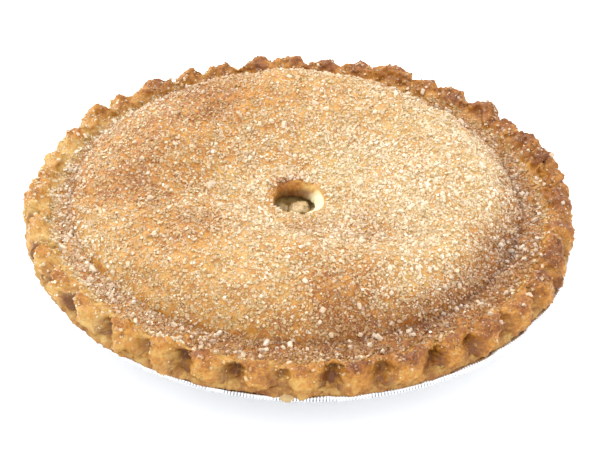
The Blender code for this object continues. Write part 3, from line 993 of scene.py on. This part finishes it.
# ---------- fruit in the vent
def apple_chunks():
    """Soft wedges of fruit lying under the vent."""
    made = []
    for number, (x, y, top, length, width, thick, turn, tilt) in enumerate(CHUNKS):
        deselect()
        bpy.ops.mesh.primitive_cube_add(size=1.0)
        chunk = bpy.context.object
        bpy.ops.object.mode_set(mode="EDIT")
        bpy.ops.mesh.select_all(action="SELECT")
        bpy.ops.mesh.subdivide(number_cuts=2)
        bpy.ops.transform.tosphere(value=0.75)
        bpy.ops.transform.vertex_random(offset=0.10, seed=number + 3)
        bpy.ops.object.mode_set(mode="OBJECT")
        rounding = chunk.modifiers.new("rounding", "SUBSURF")
        rounding.levels = rounding.render_levels = 2
        apply_modifiers(chunk)
        size = Matrix.Diagonal((length * MM, width * MM, thick * MM, 1.0))
        turned = Matrix.Rotation(math.radians(turn), 4, "Z")
        turned = turned @ Matrix.Rotation(math.radians(tilt), 4, "X")
        spot = Matrix.Translation((x * MM, y * MM, (top - thick / 2.0) * MM))
        chunk.data.transform(spot @ turned @ size)
        bpy.ops.object.shade_smooth()
        made.append(chunk)
    deselect()
    for chunk in made:
        chunk.select_set(True)
    bpy.context.view_layer.objects.active = made[0]
    bpy.ops.object.join()
    piece = bpy.context.object
    piece.name = piece.data.name = "apple_chunks"
    relief(piece, FRUIT_RELIEF)
    return piece


def set_juice_bead():
    """A bead of juice that ran over the ledge and set on the hem."""
    deselect()
    bpy.ops.mesh.primitive_uv_sphere_add(segments=32, ring_count=18, radius=1.0)
    piece = bpy.context.object
    piece.name = piece.data.name = "set_juice"
    shape = Matrix.Diagonal((*(half * MM for half in JUICE_HALF_SIZE), 1.0))
    spot = Matrix.Translation([place * MM for place in JUICE_PLACE])
    piece.data.transform(spot @ shape)
    bpy.ops.object.shade_smooth()
    relief(piece, JUICE_RELIEF)
    return piece


# ---------- sugar
def crystal_shape(kind, seed):
    """One crystal about 1 across, modelled once and then strewn."""
    deselect()
    if kind == "fine":
        bpy.ops.mesh.primitive_cylinder_add(vertices=3, radius=0.66, depth=0.95)
    else:
        bpy.ops.mesh.primitive_cube_add(size=0.86)
    shape = bpy.context.object
    bpy.ops.object.mode_set(mode="EDIT")
    bpy.ops.mesh.select_all(action="SELECT")
    if kind == "large":
        bpy.ops.mesh.bevel(offset=0.16, segments=1, affect="EDGES")
    bpy.ops.transform.vertex_random(offset=0.12 if kind == "fine" else 0.13, seed=seed)
    bpy.ops.mesh.quads_convert_to_tris()
    bpy.ops.object.mode_set(mode="OBJECT")
    points = coordinates(shape) * MM
    faces = np.array([face.vertices[:] for face in shape.data.polygons])
    bpy.data.objects.remove(shape, do_unlink=True)
    return points, faces


def random_turns(count, source):
    """Random rotations as 3 x 3 matrices."""
    q = source.normal(size=(count, 4))
    q /= np.linalg.norm(q, axis=1)[:, None]
    w, x, y, z = q.T
    return np.stack([
        np.stack([1 - 2 * (y * y + z * z), 2 * (x * y - z * w), 2 * (x * z + y * w)], -1),
        np.stack([2 * (x * y + z * w), 1 - 2 * (x * x + z * z), 2 * (y * z - x * w)], -1),
        np.stack([2 * (x * z - y * w), 2 * (y * z + x * w), 1 - 2 * (x * x + y * y)], -1),
    ], axis=1)


def patchy(points, size, seed):
    """A soft random field between 0 and 1, made of a few crossing waves."""
    source = np.random.default_rng(seed)
    total = np.zeros(len(points))
    for _ in range(PATCH_WAVES):
        direction = source.normal(size=3)
        direction /= np.linalg.norm(direction)
        length = size * source.uniform(0.6, 1.8)
        total += np.sin(points @ direction * TAU / length + source.uniform(0.0, TAU))
    return 0.5 + 0.5 * np.tanh(total / PATCH_SOFTNESS)


def sugar_cover(points, normals, seed, right, channel, edge, patch):
    """How thickly the sugar lies at each point."""
    radius, angle, _ = where_on_pie(points)
    foot = lid_foot(angle)
    on_lid = 1.0 - smoothstep(foot - 1.5, foot + 1.5, radius)
    on_edge = smoothstep(EDGE_FOOT_RADIUS + 1.0, EDGE_FOOT_RADIUS + 6.0, radius)
    in_channel = (1.0 - on_lid) * (1.0 - on_edge)
    inner = smoothstep(80.0, 40.0, radius)
    cover = on_lid * (0.75 + 0.25 * inner + right * facing(angle, -5.0, 1.5))
    cover = cover + in_channel * channel * (0.85 + 0.45 * facing(angle, 190.0, 1.5))
    cover = cover + 0.25 * smoothstep(76.0, 90.0, radius) * on_lid * facing(angle, -60.0)
    cover = cover + on_edge * edge
    lip = VENT_LIP_RADIUS
    open_vent = smoothstep(lip - 1.0, lip + 2.0, where_in_vent(points)[0])
    # the lumps shed sugar, the valleys hold it
    still = 1.0 - 0.35 * smoothstep(CROWN_HEIGHT - 1.0, CROWN_HEIGHT + 5.0, points[:, 2])
    fields = patchy(points, 22.0, seed) * patchy(points, 7.0, seed + 1)
    high_enough = points[:, 2] > LEDGE_TOP + 2.5
    up = smoothstep(0.05, 0.55, normals[:, 2])
    return (cover * up * up * open_vent * still * (1.0 - patch + 2.0 * patch * fields)
            * high_enough)


def surface_spots(piece, count, cover, source):
    """Random places on a piece, thicker where the sugar's cover is higher."""
    mesh = piece.data
    mesh.calc_loop_triangles()
    corners = np.empty(len(mesh.loop_triangles) * 3, dtype=np.int32)
    mesh.loop_triangles.foreach_get("vertices", corners)
    a, b, c = (coordinates(piece)[corners[first::3]] for first in range(3))
    cross = np.cross(b - a, c - a)
    area = np.linalg.norm(cross, axis=1)
    normal = cross / np.maximum(area, 1e-9)[:, None]
    weight = area * sugar_cover((a + b + c) / 3.0, normal, *cover)
    chosen = source.choice(len(area), size=count, p=weight / weight.sum())
    u, v = source.random(count), source.random(count)
    flip = u + v > 1.0
    u[flip], v[flip] = 1.0 - u[flip], 1.0 - v[flip]
    spots = a[chosen] + (b - a)[chosen] * u[:, None] + (c - a)[chosen] * v[:, None]
    return spots, normal[chosen]


def crystal_tones(spots, normals, white, source):
    """For each crystal the tone of the dough under it, its whiteness and its frost."""
    count = len(spots)
    browning, hollow_shade, _ = tone_of_crust(spots, normals)
    # crystals in the hollows take a darker tone from the painted shade there
    tones = browning + 0.35 * hollow_shade + source.normal(0.0, 0.10, count)
    radius, angle, _ = where_on_pie(spots)
    whiter = 0.24 * facing(angle, -5.0, 2.0) * smoothstep(12.0, 50.0, radius)
    whiter = whiter + 0.18 * smoothstep(68.0, 25.0, radius)
    browner = 0.30 * smoothstep(78.0, 100.0, radius) * facing(angle, -70.0, 2.0)
    browner = browner + 0.20 * smoothstep(96.0, 110.0, radius)
    browner = browner + 0.7 * lump_height(radius, angle, TONE_PATCHES)
    browner = browner - 0.42 * smoothstep(92.0, 104.0, radius) * facing(angle, 190.0, 2.0)
    whites = source.normal(white, 0.20, count) + whiter - browner
    return tones, np.clip(whites, 0.0, 1.0), source.random(count)


def strew(piece, name, kind, count, sizes, stretch, lift, white, seed, cover):
    """Crystals of one kind over a piece, joined into one mesh."""
    source = np.random.default_rng(seed)
    shapes = [crystal_shape(kind, seed * 7 + number) for number in range(CRYSTAL_SHAPES)]
    spots, normals = surface_spots(piece, count, cover, source)
    size = mix(*sizes, source.random(count) ** 1.6)
    scale = np.stack([size * mix(1.0, stretch, source.random(count)), size,
                      size * mix(0.75, 1.0, source.random(count))], axis=-1)
    turned = random_turns(count, source)
    centre = spots + normals * (size * lift)[:, None]
    which = source.integers(0, CRYSTAL_SHAPES, count)
    all_points, all_faces, owners, start = [], [], [], 0
    for number, (points, faces) in enumerate(shapes):
        mine = np.nonzero(which == number)[0]
        local = points[None] * scale[mine][:, None]
        world = np.einsum("nij,nkj->nki", turned[mine], local) + centre[mine][:, None]
        all_points.append(world.reshape(-1, 3))
        offsets = start + np.arange(len(mine)) * len(points)
        all_faces.append((faces[None] + offsets[:, None, None]).reshape(-1, 3))
        owners.append(np.repeat(mine, len(points)))
        start += len(mine) * len(points)
    mesh = bpy.data.meshes.new(name)
    mesh.from_pydata((np.concatenate(all_points) * MM).tolist(), [],
                     np.concatenate(all_faces).tolist())
    made = bpy.data.objects.new(name, mesh)
    bpy.context.scene.collection.objects.link(made)
    pick(made)
    bpy.ops.object.mode_set(mode="EDIT")
    bpy.ops.mesh.select_all(action="SELECT")
    bpy.ops.mesh.normals_make_consistent(inside=False)
    bpy.ops.object.mode_set(mode="OBJECT")
    owner = np.concatenate(owners)
    paint(made, "tint", *(measure[owner]
                          for measure in crystal_tones(spots, normals, white, source)))
    return made


# ---------- put together
lid = top_crust()
paint(lid, "bake_and_shade", *tone_of_crust(coordinates(lid), vertex_normals(lid)))
put_on(lid, baked_dough())
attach(lid, "root")
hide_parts("top_crust")

pastry = bottom_crust()
put_on(pastry, ledge_dough())
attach(pastry, "root")
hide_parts("bottom_crust")

pan = foil_tin()
put_on(pan, bright_foil())
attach(pan, "root")
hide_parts("foil_tin")

filling = bpy.data.objects["apple_filling"]
syrup = cooked_syrup()
for material_slot in filling.material_slots:
    material_slot.material = syrup.material

chunks = apple_chunks()
put_on(chunks, soft_apple())
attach(chunks, "root")

bead = set_juice_bead()
put_on(bead, honey_drip())
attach(bead, "root")

white_sugar = sugar_finish("white_sugar", 1.0, 0.20)
clear_sugar = sugar_finish("clear_sugar", 0.55, 0.08)
for row, finish in zip(SUGARS, (white_sugar, clear_sugar, white_sugar, clear_sugar)):
    crystals = strew(lid, *row)
    put_on(crystals, finish)
    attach(crystals, "root")

# ---------- floor, light, camera
deselect()
bpy.ops.mesh.primitive_plane_add(size=FLOOR_SIZE, location=(0.0, 0.0, -FLOOR_DROP))
floor = bpy.context.object
floor.name = "floor"
board = Finish("floor_white")
board.set(Base_Color=board.blend(board.noise(40.0, 2.0), FLOOR_COOL, FLOOR_WARM), Roughness=0.7)
put_on(floor, board)

world = bpy.data.worlds.new("studio")
bpy.context.scene.world = world
world.use_nodes = True
world.node_tree.nodes["Background"].inputs["Color"].default_value = (1.0, 1.0, 1.0, 1.0)
world.node_tree.nodes["Background"].inputs["Strength"].default_value = WORLD_STRENGTH

lamp = bpy.data.lights.new("window", "AREA")
lamp.shape = "DISK"
lamp.size = LAMP_SIZE
lamp.energy = LAMP_POWER
lamp.color = LAMP_COLOUR
window = bpy.data.objects.new("window", lamp)
bpy.context.scene.collection.objects.link(window)
window.location = LAMP_PLACE
window.rotation_euler = (-Vector(LAMP_PLACE)).to_track_quat("-Z", "Y").to_euler()

lens = bpy.data.cameras.new("camera")
lens.lens = CAMERA_LENS
lens.clip_start = 0.01
camera = bpy.data.objects.new("camera", lens)
bpy.context.scene.collection.objects.link(camera)
tilt = math.radians(CAMERA_ELEVATION)
back = Vector((0.0, -math.cos(tilt), math.sin(tilt)))
camera.location = (CAMERA_TARGET + CAMERA_DISTANCE * back) * MM
aim = Matrix.Rotation(math.radians(90.0 - CAMERA_ELEVATION), 4, "X")
aim = aim @ Matrix.Rotation(math.radians(CAMERA_ROLL), 4, "Z")
camera.rotation_euler = aim.to_euler()
bpy.context.scene.camera = camera
bpy.context.scene.view_settings.view_transform = "Standard"
